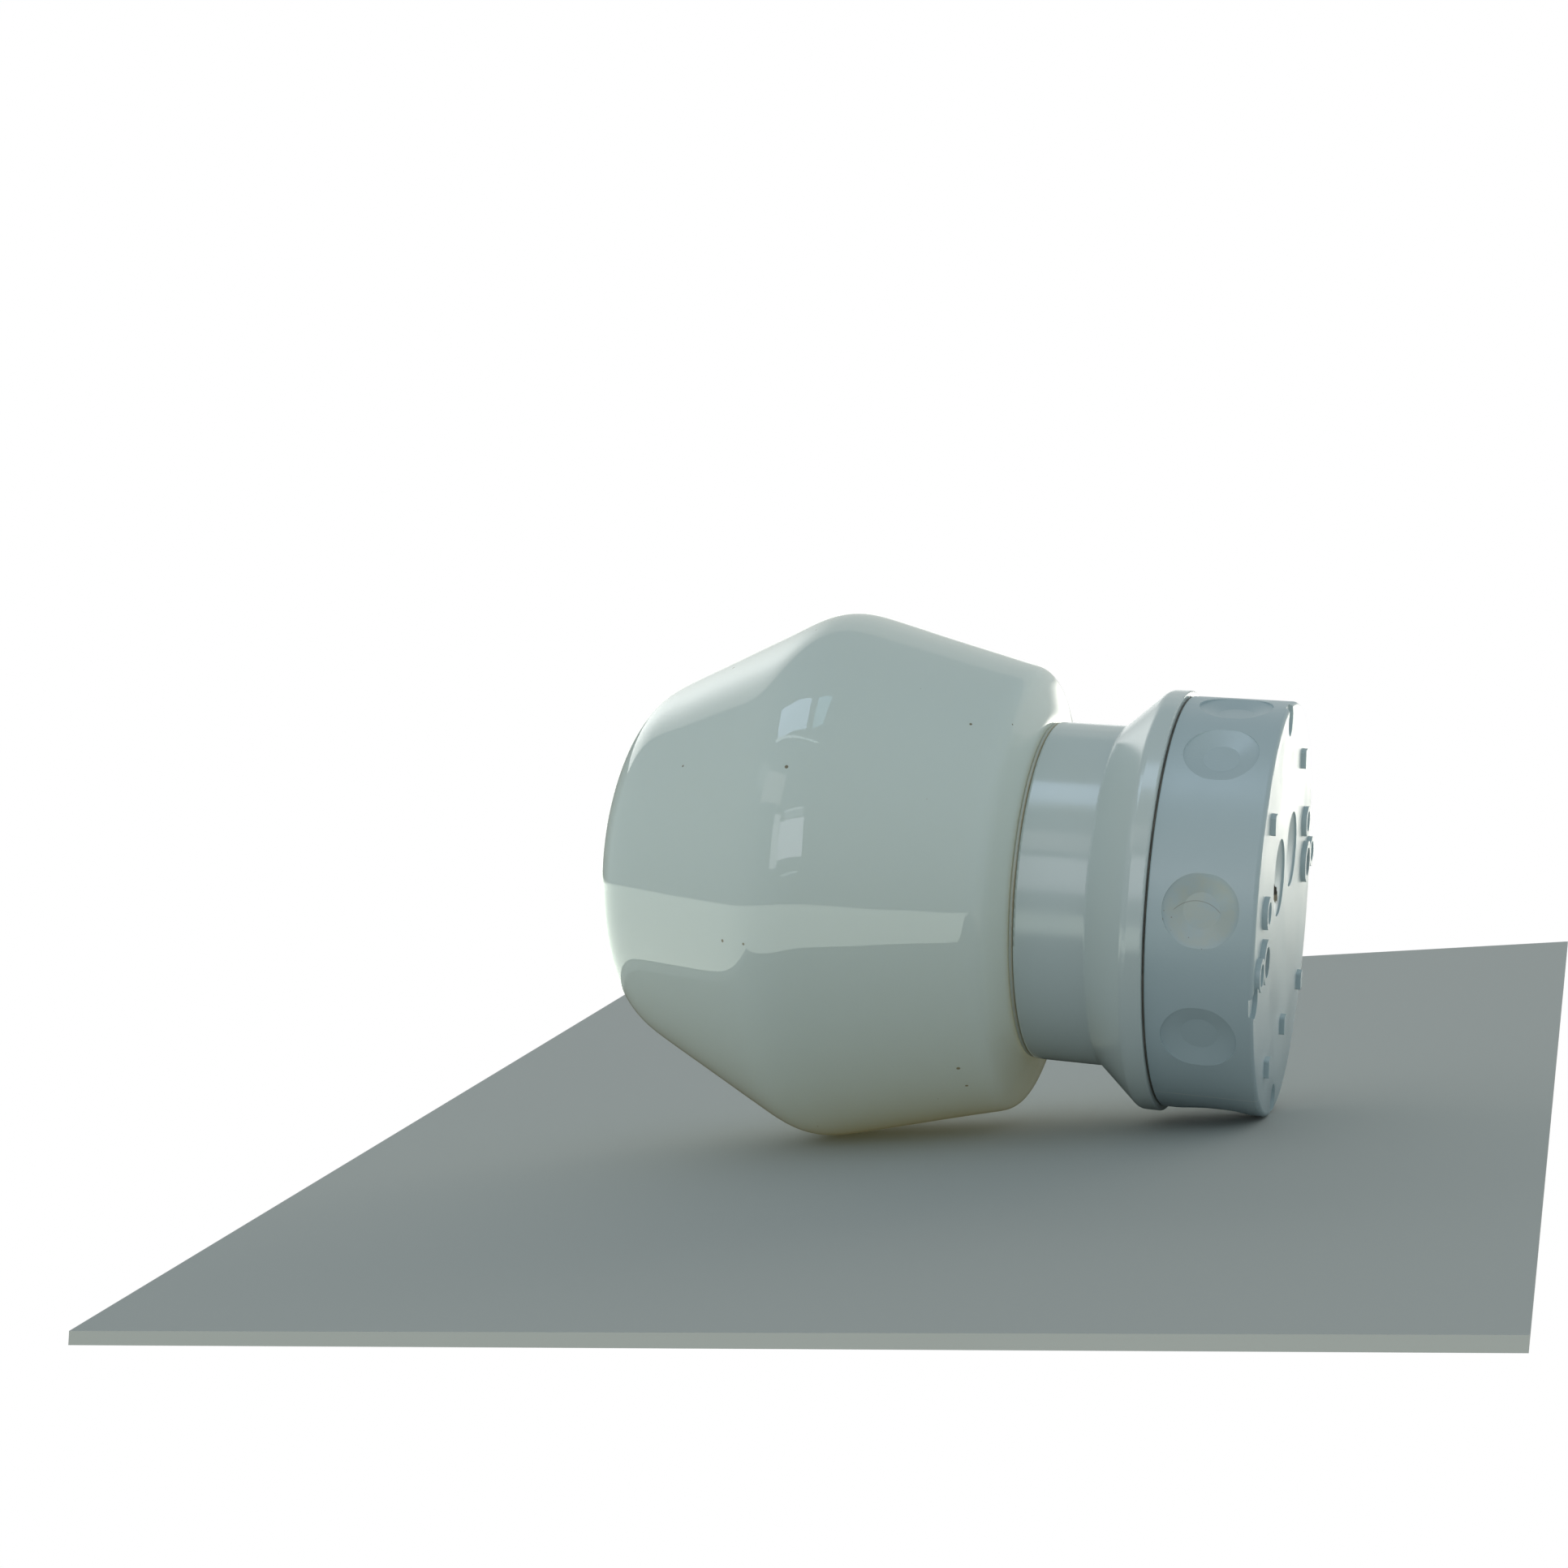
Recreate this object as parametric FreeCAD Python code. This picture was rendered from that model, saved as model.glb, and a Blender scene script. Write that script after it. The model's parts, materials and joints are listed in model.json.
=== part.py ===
import FreeCAD, Part
import math
import os
from FreeCAD import Vector

# Wall or ceiling light with an opal glass shade that screws into the collar of a moulded plastic base.
# Millimetres. The wall is the plane X = 0 and the lamp points along -X, with +Z up.
# s is a depth measured from the rear face of the box towards the shade's tip, so x = -pad_height - s.

# Rear box
pad_height = 1.4          # lugs and raised rings stand this far off the rear face, against the wall
pattern_roll = 17.0       # the base's own pattern of holes is turned this far about the lamp's axis
box_radius = 60.0
box_wall = 3.5
box_depth = 29.5
rear_wall = 3.0
rear_edge = 1.2
spigot_depth = 32.5
spigot_radius = 58.0

# Knock-out dishes in the side wall and the rear wall
dish_radius = 10.4
dish_floor_radius = 5.0
dish_depth = 2.4
dish_s = 15.0
dish_angles = (18, 64, 90, 116, 162, 198, 244, 270, 296, 342)
rear_dish_radius = 11.0
rear_dish_spacing = 25.6
rear_dish_height = 14.0
rear_dish_depth = 1.7
entry_y = -16.2            # a hole pierced in one rear dish
entry_z = 12.8
entry_radius = 2.0

# Wall fixing holes, rings, lugs and rim scallops on the rear face
fixing_pcd = 86.0
fixing_radius = 4.3
fixing_ring_radius = 6.3
small_ring_radius = 4.6
small_ring_bore = 3.1
lug_width = 3.8
lug_length = 5.6
lug_row = 36.0
scallop_radius = 4.7
scallop_depth = 1.2
scallop_centre = 56.0
scallop_angles = (87, 187, 256)

# Cover with its flange and collar
seal_thickness = 0.6
flange_radius = 61.5
collar_radius = 50.2
collar_root = 48.0
collar_front = 68.4
cover_wall = 3.0
sleeve_bore = 42.9
sleeve_radius = 45.6
cover_floor = 46.5
cover_floor_front = 49.0
cover_opening = 21.5
cover_screw_at = 25.0

# Glass thread, nominal diameter 84.5
glass_pitch = 6.0
glass_crest = 42.25
neck_radius = 40.2
neck_bore = 36.5
neck_rear = 52.0
sleeve_crest = 41.0
sleeve_thread_start = 55.0
glass_thread_start = 58.0
glass_turns = 1.5

# Shade outline as (s, radius, rounding), from the flat shoulder to the tip
glass_wall = 3.6
shoulder_s = 69.7
tip_s = 203.2
shade_outline = (
    (shoulder_s, neck_radius, 0.0),
    (shoulder_s, 50.8, 8.0),
    (73.9, 65.8, 5.6),
    (134.2, 81.4, 21.0),
    (190.3, 51.9, 17.0),
    (tip_s, 27.5, 88.0),
    (tip_s, 0.0, 0.0),
)

# Lampholder, E27
bracket_s = 22.5
bracket_hole_at = 40.0
holder_radius = 19.5
holder_rear = 24.0
holder_floor = 34.0
holder_front = 60.0
holder_bore = 14.2
holder_screw_at = 13.0
shell_bore = 13.5
shell_radius = 14.0
e27_pitch = 3.629
shell_crest = 12.45
shell_thread_start = 41.0
shell_turns = 4.3
terminal_at = 16.5

# Bulb, 60 mm across and 105 mm long
bulb_tip = 36.65
bulb_radius = 30.0
bulb_length = 105.0
cap_minor = 12.0
cap_major = 13.1
cap_turns = 3.7
bulb_glass = 0.7
filament_radius = 0.3

# Terminal block, on the rear wall beside the lampholder
block_at = 38.0
block_turn = 45.0
block_length = 30.0
block_width = 16.0
block_rear = 6.0
block_front = 19.0
way_pitch = 10.0
way_s = 12.5
lead_radius = 1.2


def at(s, y, z):
    return Vector(-pad_height - s, y, z)


def rod(s0, s1, y, z, radius):
    # A cylinder along the lamp's axis, from depth s0 to s1.
    return Part.makeCylinder(radius, s1 - s0, at(s0, y, z), Vector(-1, 0, 0))


def ring(s0, s1, y, z, radius, bore):
    return rod(s0, s1, y, z, radius).cut(rod(s0 - 1, s1 + 1, y, z, bore))


def block(s0, s1, y0, y1, z0, z1):
    return Part.makeBox(s1 - s0, y1 - y0, z1 - z0, at(s1, y0, z0))


def turn(shape, degrees):
    # Turned about the lamp's axis.
    shape.rotate(Vector(0, 0, 0), Vector(1, 0, 0), degrees)
    return shape


def corner_cut(before, here, after, radius):
    # Start, middle and end of the arc that rounds a corner.
    if radius == 0:
        return here, None, here
    u = (before - here).normalize()
    v = (after - here).normalize()
    half = u.getAngle(v) / 2
    middle = (u + v).normalize()
    reach = radius / math.tan(half)
    centre = here + middle * (radius / math.sin(half))
    return here + u * reach, centre - middle * radius, here + v * reach


def rounded_edges(points, radii, closed):
    count = len(points)
    cuts = []
    for i in range(count):
        end = (i == 0 or i == count - 1) and not closed
        radius = 0 if end else radii[i]
        cuts.append(corner_cut(points[i - 1], points[i], points[(i + 1) % count], radius))
    edges = []
    for i in range(count):
        first, middle, last = cuts[i]
        if middle is not None:
            edges.append(Part.Arc(first, middle, last).toShape())
        if i == count - 1 and not closed:
            break
        following = cuts[(i + 1) % count][0]
        if last.distanceToPoint(following) > 1e-5:
            edges.append(Part.LineSegment(last, following).toShape())
    return edges


def turned(corners):
    # A solid of revolution about the lamp's axis, from (s, radius, rounding) corners.
    points = [at(c[0], 0, c[1]) for c in corners]
    wire = Part.Wire(rounded_edges(points, [c[2] for c in corners], True))
    return Part.Face(wire).revolve(Vector(0, 0, 0), Vector(1, 0, 0), 360)


def thread_ridge(start, turns, pitch, root, crest, foot, land):
    # A right-hand helical ridge about the lamp's axis, from its root radius to its crest radius.
    helix = Part.makeHelix(pitch, turns * pitch, root)
    corners = [
        Vector(root, 0, -foot / 2),
        Vector(root, 0, foot / 2),
        Vector(crest, 0, land / 2),
        Vector(crest, 0, -land / 2),
    ]
    section = Part.Wire(Part.makePolygon(corners + corners[:1]).Edges)
    ridge = Part.Wire(helix.Edges).makePipeShell([section], True, True)
    ridge.rotate(Vector(0, 0, 0), Vector(0, 1, 0), -90)
    ridge.translate(Vector(-pad_height - start, 0, 0))
    return ridge


def inset_corners(corners, wall):
    # The same outline, moved inwards by the wall thickness.
    lines = []
    for a, b in zip(corners, corners[1:]):
        length = math.hypot(b[0] - a[0], b[1] - a[1])
        along = ((b[0] - a[0]) / length, (b[1] - a[1]) / length)
        lines.append(((a[0] + along[1] * wall, a[1] - along[0] * wall), along))
    inside = []
    for i in range(1, len(lines)):
        (p, u), (q, v) = lines[i - 1], lines[i]
        cross = u[0] * v[1] - u[1] * v[0]
        t = ((q[0] - p[0]) * v[1] - (q[1] - p[1]) * v[0]) / cross
        rounding = max(corners[i][2] - wall, 3.0)
        inside.append((p[0] + u[0] * t, p[1] + u[1] * t, rounding))
    return inside


def side_dish(angle):
    # Round dish pressed into the side wall, with a sloping edge and a flat floor.
    floor = box_radius - dish_depth
    edge = box_radius - 0.8
    outline = [
        Vector(0, 0, floor),
        Vector(dish_floor_radius, 0, floor),
        Vector(dish_radius, 0, edge),
        Vector(dish_radius, 0, box_radius + 3),
        Vector(0, 0, box_radius + 3),
    ]
    face = Part.Face(Part.makePolygon(outline + outline[:1]))
    cutter = face.revolve(Vector(0, 0, 0), Vector(0, 0, 1), 360)
    cutter.translate(Vector(-pad_height - dish_s, 0, 0))
    return turn(cutter, angle - 90)


def rear_dish(y):
    outline = [
        at(-1, y, rear_dish_height),
        at(-1, y, rear_dish_height + rear_dish_radius),
        at(rear_dish_depth - 1.2, y, rear_dish_height + rear_dish_radius),
        at(rear_dish_depth, y, rear_dish_height + 6.0),
        at(rear_dish_depth, y, rear_dish_height),
    ]
    face = Part.Face(Part.makePolygon(outline + outline[:1]))
    return face.revolve(at(0, y, rear_dish_height), Vector(1, 0, 0), 360)


def lug(y, z):
    pad = Part.makeBox(pad_height + 0.5, lug_width, lug_length)
    pad = pad.makeFillet(0.7, [e for e in pad.Edges if abs(e.tangentAt(e.FirstParameter).x) > 0.9])
    pad.translate(Vector(-pad_height - 0.5, y - lug_width / 2, z - lug_length / 2))
    return pad


def rear_box():
    body = turned((
        (0, 0, 0),
        (0, box_radius, rear_edge),
        (box_depth, box_radius, 0.4),
        (box_depth, spigot_radius, 0),
        (spigot_depth, spigot_radius, 0.4),
        (spigot_depth, box_radius - box_wall, 0.4),
        (rear_wall, box_radius - box_wall, 2.0),
        (rear_wall, 0, 0),
    ))
    raised = [lug(y, lug_row) for y in (-32.0, 32.0)]
    raised += [lug(y, -lug_row) for y in (-32.0, 0.0, 36.0)]
    half = fixing_pcd / 2
    for side in (-1, 1):
        raised.append(rod(-pad_height, 0.5, side * half, 0, fixing_ring_radius))
        raised.append(rod(-pad_height, 0.5, side * 53.0, 0, small_ring_radius))
        raised.append(ring(-pad_height, 0.5, side * 41.0, 13.5, small_ring_radius, small_ring_bore))
        raised.append(rod(rear_wall - 0.5, 8.0, side * half, 0, fixing_ring_radius))
        raised.append(rod(rear_wall - 0.5, cover_floor, side * cover_screw_at, side * cover_screw_at, 4.5))
        raised.append(rod(rear_wall - 0.5, bracket_s, 0, side * bracket_hole_at, 4.5))
    raised.append(turn(rod(rear_wall - 0.5, block_rear, 0, -block_at, 4.0), block_turn))
    body = body.multiFuse(raised)
    cuts = [side_dish(angle) for angle in dish_angles]
    for side in (-1, 1):
        cuts.append(rear_dish(side * rear_dish_spacing / 2))
        cuts.append(rod(-pad_height - 1, 9, side * half, 0, fixing_radius))
        cuts.append(rod(-pad_height - 1, -0.2, side * 53.0, 0, small_ring_bore))
        cuts.append(rod(32.5, 50, side * cover_screw_at, side * cover_screw_at, 1.8))
        cuts.append(rod(10, 30, 0, side * bracket_hole_at, 1.55))
    cuts.append(rod(-1, 5, entry_y, entry_z, entry_radius))
    cuts.append(turn(rod(1.2, 10, 0, -block_at, 1.3), block_turn))
    for angle in scallop_angles:
        cuts.append(turn(rod(-1, scallop_depth, scallop_centre, 0, scallop_radius), angle))
    return body.cut(cuts)


def cover():
    body = turned((
        (box_depth + seal_thickness, spigot_radius + 0.4, 0.3),
        (box_depth + seal_thickness, flange_radius, 0.5),
        (35.6, flange_radius, 3.0),
        (collar_root, collar_radius, 1.2),
        (collar_front, collar_radius, 0.8),
        (collar_front, sleeve_bore, 0.5),
        (cover_floor_front, sleeve_bore, 1.0),
        (cover_floor_front, cover_opening, 0.4),
        (cover_floor, cover_opening, 0.4),
        (cover_floor, sleeve_radius, 0.4),
        (collar_front - cover_wall, sleeve_radius, 0.3),
        (collar_front - cover_wall, collar_radius - cover_wall, 0.3),
        (46.8, collar_radius - cover_wall, 1.0),
        (34.6, spigot_radius + 0.4, 1.0),
    ))
    ridge = thread_ridge(
        sleeve_thread_start, glass_turns, glass_pitch, sleeve_bore + 0.3, sleeve_crest, 2.9, 1.4
    )
    body = body.fuse(ridge)
    for side in (-1, 1):
        body = body.cut(rod(40, 60, side * cover_screw_at, side * cover_screw_at, 2.2))
    return body


def cover_gasket():
    return turned((
        (box_depth, spigot_radius + 0.1, 0),
        (box_depth, box_radius - 0.3, 0.3),
        (box_depth + seal_thickness, box_radius - 0.3, 0.3),
        (box_depth + seal_thickness, spigot_radius + 0.1, 0),
    ))


def pan_screw(head_s, length, y, z, radius, head_radius, head_height):
    # Pan-head screw with a cross slot. The head's flat underside is at head_s and the shank runs backwards.
    head = rod(head_s, head_s + head_height, y, z, head_radius)
    rim = [e for e in head.Edges if abs(e.BoundBox.XMin + pad_height + head_s + head_height) < 1e-6]
    head = head.makeFillet(head_height * 0.55, [e for e in rim if e.BoundBox.XLength < 1e-6])
    shank = rod(head_s - length, head_s + 0.2, y, z, radius)
    body = head.fuse(shank)
    reach = head_radius * 0.6
    top = head_s + head_height
    body = body.cut(block(top - 1.0, top + 1, y - reach, y + reach, z - 0.45, z + 0.45))
    return body.cut(block(top - 1.0, top + 1, y - 0.45, y + 0.45, z - reach, z + reach))


def slotted_screw(s0, s1, y, z, radius):
    body = rod(s0, s1, y, z, radius)
    return body.cut(block(s1 - 0.8, s1 + 1, y - 0.3, y + 0.3, z - radius - 1, z + radius + 1))


def cover_screws():
    places = (-cover_screw_at, cover_screw_at)
    return [pan_screw(cover_floor_front, 15, k, k, 1.75, 3.6, 2.3) for k in places]


def shade():
    inside = inset_corners(shade_outline, glass_wall)
    corners = [(neck_rear, neck_bore, 1.2), (neck_rear, neck_radius, 1.2)]
    corners += list(shade_outline)
    corners.append((tip_s - glass_wall, 0.0, 0.0))
    corners += list(reversed(inside))
    corners.append((shoulder_s + glass_wall, neck_bore, 2.5))
    body = turned(corners)
    ridge = thread_ridge(
        glass_thread_start, glass_turns, glass_pitch, neck_radius - 0.3, glass_crest, 2.9, 1.4
    )
    return body.fuse(ridge)


def shade_gasket():
    return turned((
        (collar_front + 0.05, 44.0, 0.3),
        (collar_front + 0.05, collar_radius - 0.3, 0.4),
        (shoulder_s - 0.05, collar_radius - 0.3, 0.4),
        (shoulder_s - 0.05, 44.0, 0.3),
    ))


def holder_bracket():
    strap = block(bracket_s, holder_rear, -8, 8, -45, 45)
    strap = strap.makeFillet(3.0, [e for e in strap.Edges if abs(e.tangentAt(e.FirstParameter).x) > 0.9])
    for side in (-1, 1):
        strap = strap.cut(rod(20, 26, 0, side * bracket_hole_at, 1.9))
        strap = strap.cut(rod(20, 26, 0, side * holder_screw_at, 1.9))
    return strap


def bracket_screws():
    places = (-bracket_hole_at, bracket_hole_at)
    return [pan_screw(holder_rear, 11, 0, k, 1.5, 3.0, 2.0) for k in places]


def holder_screws():
    # These come from behind the strap, so each is made facing forwards and then turned end for end.
    screws = []
    for side in (-1, 1):
        screw = pan_screw(bracket_s, 8.0, 0, 0, 1.5, 2.9, 2.0)
        screw.rotate(at(bracket_s, 0, 0), Vector(0, 0, 1), 180)
        screw.translate(Vector(0, 0, side * holder_screw_at))
        screws.append(screw)
    return screws


def holder_body():
    # Porcelain body: thick floor at the back, socket for the screw shell, chamber for the sprung contact.
    body = turned((
        (holder_rear, 0, 0),
        (holder_rear, holder_radius, 1.0),
        (holder_front, holder_radius, 1.8),
        (holder_front, 15.8, 0.8),
        (57.4, 15.8, 0.3),
        (57.4, holder_bore, 0.3),
        (holder_floor, holder_bore, 0.5),
        (holder_floor, 0, 0),
    ))
    cuts = [rod(27.0, holder_floor + 1, 0, 0, 4.3), block(holder_rear - 1, 27.7, 0, 14.5, -2.3, 2.3)]
    for side in (-1, 1):
        low = min(side * 13.5, side * 20.5)
        high = max(side * 13.5, side * 20.5)
        cuts.append(block(holder_rear - 1, 33.0, low, high, -4, 4))
        cuts.append(rod(holder_rear - 1, 31.5, 0, side * holder_screw_at, 1.6))
    cuts.append(block(32, holder_floor + 1, -14.4, -13.2, -2.4, 2.4))
    return body.cut(cuts)


def holder_shell():
    body = turned((
        (39.0, 12.6, 0),
        (39.0, shell_radius, 0.4),
        (57.2, shell_radius, 0),
        (57.2, shell_bore, 0),
        (39.6, shell_bore, 0),
        (39.6, 12.6, 0),
    ))
    ridge = thread_ridge(
        shell_thread_start, shell_turns, e27_pitch, shell_bore + 0.2, shell_crest, 1.5, 0.7
    )
    tab = block(32.5, 39.5, -14.0, -13.55, -2, 2)
    return body.fuse(ridge).fuse(tab)


def contact_pin():
    return turned((
        (32.4, 0, 0),
        (32.4, 1.7, 0),
        (34.6, 1.7, 0),
        (34.6, 3.9, 0.2),
        (35.4, 3.9, 0.2),
        (35.4, 2.6, 0.2),
        (bulb_tip - 0.05, 2.6, 0.6),
        (bulb_tip - 0.05, 0, 0),
    ))


def contact_spring():
    # Coil between the strip at the bottom of the chamber and the pin's head.
    wire = 0.35
    helix = Part.makeHelix(1.5, 6.1, 3.0)
    section = Part.Wire(Part.makeCircle(wire, Vector(3.0, 0, 0), Vector(0, 1, 0)))
    coil = Part.Wire(helix.Edges).makePipeShell([section], True, True)
    coil.rotate(Vector(0, 0, 0), Vector(0, 1, 0), -90)
    coil.translate(at(28.1, 0, 0))
    return coil


def contact_strip():
    return rod(27.05, 27.6, 0, 0, 4.0).fuse(block(27.05, 27.6, 0, 13.8, -2, 2))


def holder_terminals():
    blocks = []
    for side in (-1, 1):
        low = min(side * 13.8, side * 18.8)
        high = max(side * 13.8, side * 18.8)
        body = block(25.5, 32.5, low, high, -3.6, 3.6)
        body = body.cut(rod(24, 31.2, side * terminal_at, 0, lead_radius + 0.1))
        hole = Part.makeCylinder(1.35, 4, at(28.5, side * terminal_at, 0), Vector(0, side, 0))
        blocks.append(body.cut(hole))
    return blocks


def holder_terminal_screws():
    screws = []
    for side in (-1, 1):
        out = Vector(0, side, 0)
        shank = Part.makeCylinder(1.3, 2.0, at(28.5, side * (terminal_at + lead_radius + 0.1), 0), out)
        head = Part.makeCylinder(2.5, 1.4, at(28.5, side * 18.85, 0), out)
        low = min(side * 19.6, side * 21)
        high = max(side * 19.6, side * 21)
        screws.append(shank.fuse(head).cut(block(24, 33, low, high, -0.35, 0.35)))
    return screws


def way_offsets():
    return (-way_pitch, 0, way_pitch)


def terminal_body():
    half = block_length / 2
    low = -block_at - block_width / 2
    high = -block_at + block_width / 2
    body = block(block_rear, block_front, -half, half, low, high)
    body = body.makeFillet(1.0, [e for e in body.Edges if abs(e.tangentAt(e.FirstParameter).x) > 0.9])
    cuts = []
    for y in way_offsets():
        cuts.append(Part.makeCylinder(2.5, block_width + 2, at(way_s, y, low - 1), Vector(0, 0, 1)))
        for dz in (-4.5, 4.5):
            cuts.append(rod(way_s, block_front + 1, y, -block_at + dz, 1.9))
    for y in (-way_pitch / 2, way_pitch / 2):
        cuts.append(block(15.5, block_front + 1, y - 0.6, y + 0.6, low - 1, high + 1))
    body = body.cut(cuts)
    return turn(body.cut(rod(block_rear - 1, way_s, 0, -block_at, 1.75)), block_turn)


def terminal_clamps():
    clamps = []
    low = -block_at - block_width / 2 + 0.6
    for y in way_offsets():
        tube = Part.makeCylinder(2.4, block_width - 1.2, at(way_s, y, low), Vector(0, 0, 1))
        tube = tube.cut(Part.makeCylinder(1.5, block_width, at(way_s, y, low - 0.2), Vector(0, 0, 1)))
        for dz in (-4.5, 4.5):
            tube = tube.cut(rod(way_s, way_s + 4, y, -block_at + dz, 1.45))
        clamps.append(turn(tube, block_turn))
    return clamps


def terminal_screws():
    screws = []
    for y in way_offsets():
        for dz in (-4.5, 4.5):
            screw = slotted_screw(way_s + lead_radius + 0.1, block_front - 0.8, y, -block_at + dz, 1.4)
            screws.append(turn(screw, block_turn))
    return screws


def block_point(s, along, inwards):
    # A point given by its place on the terminal block: along its length, and inwards from its middle.
    turned_by = math.radians(block_turn)
    y = along * math.cos(turned_by) + (block_at - inwards) * math.sin(turned_by)
    z = along * math.sin(turned_by) - (block_at - inwards) * math.cos(turned_by)
    return at(s, y, z)


def wire_along(points, radius, name):
    # A round wire along straight runs joined by arcs as large as the runs allow.
    bends = [0.0]
    for before, here, after in zip(points, points[1:], points[2:]):
        shorter = min((here - before).Length, (after - here).Length)
        bend = (here - before).getAngle(after - here)
        bends.append(0.45 * shorter / math.tan(bend / 2))
    bends.append(0.0)
    print(name, "bend radii", [round(r, 1) for r in bends[1:-1]])
    path = Part.Wire(rounded_edges(points, bends, False))
    section = Part.Wire(Part.makeCircle(radius, points[0], points[1] - points[0]))
    return path.makePipeShell([section], True, False)


def lead_live():
    points = [
        block_point(way_s, way_pitch, 2.0),
        block_point(way_s, way_pitch, 12.0),
        at(13.6, 20.5, -5.0),
        at(20.5, terminal_at, 0),
        at(30.8, terminal_at, 0),
    ]
    return wire_along(points, lead_radius, "live lead")


def lead_neutral():
    points = [
        block_point(way_s, -way_pitch, 2.0),
        block_point(way_s, -way_pitch, 13.0),
        at(12.2, 0.5, -18.5),
        at(12.6, -9.5, -11.0),
        at(15.5, -15.5, -3.2),
        at(21.2, -terminal_at, 0),
        at(30.8, -terminal_at, 0),
    ]
    return wire_along(points, lead_radius, "neutral lead")


def terminal_fixing_screw():
    # Headless screw through the block's floor under the middle way, in the boss on the rear wall.
    return turn(rod(1.6, way_s - 2.6, 0, -block_at, 1.25), block_turn)


def bulb_outline(wall):
    tip = bulb_tip + bulb_length
    return [
        (bulb_tip + 22.5, 12.6 - wall, 0),
        (bulb_tip + 29.0, 13.8 - wall, 30.0),
        (bulb_tip + 59.5, bulb_radius - wall, 26.0),
        (tip - wall, bulb_radius - wall, bulb_radius - wall - 0.3),
        (tip - wall, 0, 0),
    ]


def bulb_envelope():
    outer = bulb_outline(0)
    inner = list(reversed(bulb_outline(bulb_glass)))
    return turned(outer + inner)


def bulb_cap():
    body = turned((
        (bulb_tip + 4.6, 10.6, 0),
        (bulb_tip + 5.2, cap_minor, 0.8),
        (bulb_tip + 20.6, cap_minor, 0.8),
        (bulb_tip + 22.0, 13.6, 0.6),
        (bulb_tip + 24.6, 13.6, 0),
        (bulb_tip + 24.6, 13.2, 0),
        (bulb_tip + 22.3, 13.2, 0),
        (bulb_tip + 20.9, cap_minor - 0.4, 0),
        (bulb_tip + 5.6, cap_minor - 0.4, 0),
        (bulb_tip + 5.0, 10.6, 0),
    ))
    start = shell_thread_start + e27_pitch / 2
    ridge = thread_ridge(start, cap_turns, e27_pitch, cap_minor - 0.2, cap_major, 1.5, 0.7)
    return body.fuse(ridge)


def bulb_insulator():
    return turned((
        (bulb_tip + 1.1, 0, 0),
        (bulb_tip + 1.1, 5.0, 0.5),
        (bulb_tip + 4.6, 10.6, 0),
        (bulb_tip + 5.1, 10.6, 0),
        (bulb_tip + 5.8, 11.4, 0),
        (bulb_tip + 5.8, 0, 0),
    ))


def bulb_contact():
    return turned((
        (bulb_tip, 0, 0),
        (bulb_tip, 4.4, 0.8),
        (bulb_tip + 1.1, 4.4, 0),
        (bulb_tip + 1.1, 0, 0),
    ))


def bulb_stem():
    return turned((
        (bulb_tip + 22.6, 11.8, 0),
        (bulb_tip + 30.0, 4.5, 6.0),
        (bulb_tip + 48.0, 3.2, 1.0),
        (bulb_tip + 62.0, 1.6, 0.6),
        (bulb_tip + 62.0, 0, 0),
        (bulb_tip + 26.0, 0, 0),
        (bulb_tip + 22.6, 10.9, 0),
    ))


def bulb_filament():
    # Two lead wires from the stem to a zigzag of fine coiled wire, drawn as one thin wire.
    near = bulb_tip + 46.0
    far = bulb_tip + 74.0
    reach = 12.0
    steps = 6
    points = [at(near, -3.65, 0), at(far - 6, -reach - 1, 0)]
    for i in range(steps + 1):
        y = -reach + 2 * reach * i / steps
        points.append(at(far + (3.0 if i % 2 else -3.0), y, 0))
    points += [at(far - 6, reach + 1, 0), at(near, 3.65, 0)]
    return wire_along(points, filament_radius, "filament")


nodes = {
    "rear_box": rear_box,
    "cover": cover,
    "cover_gasket": cover_gasket,
    "cover_screws": cover_screws,
    "shade_gasket": shade_gasket,
    "shade": shade,
    "holder_bracket": holder_bracket,
    "bracket_screws": bracket_screws,
    "holder_screws": holder_screws,
    "holder_body": holder_body,
    "holder_shell": holder_shell,
    "contact_pin": contact_pin,
    "contact_spring": contact_spring,
    "contact_strip": contact_strip,
    "holder_terminals": holder_terminals,
    "holder_terminal_screws": holder_terminal_screws,
    "terminal_body": terminal_body,
    "terminal_clamps": terminal_clamps,
    "terminal_screws": terminal_screws,
    "terminal_fixing_screw": terminal_fixing_screw,
    "lead_live": lead_live,
    "lead_neutral": lead_neutral,
    "bulb_envelope": bulb_envelope,
    "bulb_cap": bulb_cap,
    "bulb_insulator": bulb_insulator,
    "bulb_contact": bulb_contact,
    "bulb_stem": bulb_stem,
    "bulb_filament": bulb_filament,
}

os.makedirs("parts", exist_ok=True)
for name, make in nodes.items():
    made = make()
    solids = made if isinstance(made, list) else [made]
    shape = solids[0] if len(solids) == 1 else Part.makeCompound(solids)
    turn(shape, pattern_roll)
    count = len(shape.Solids)
    print(name, "solids", count, "valid", shape.isValid(), "volume", round(shape.Volume, 1))
    shape.exportStep("parts/" + name + ".step")
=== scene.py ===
import json
import math

import bmesh
import bpy
from mathutils import Matrix, Vector, noise


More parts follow.
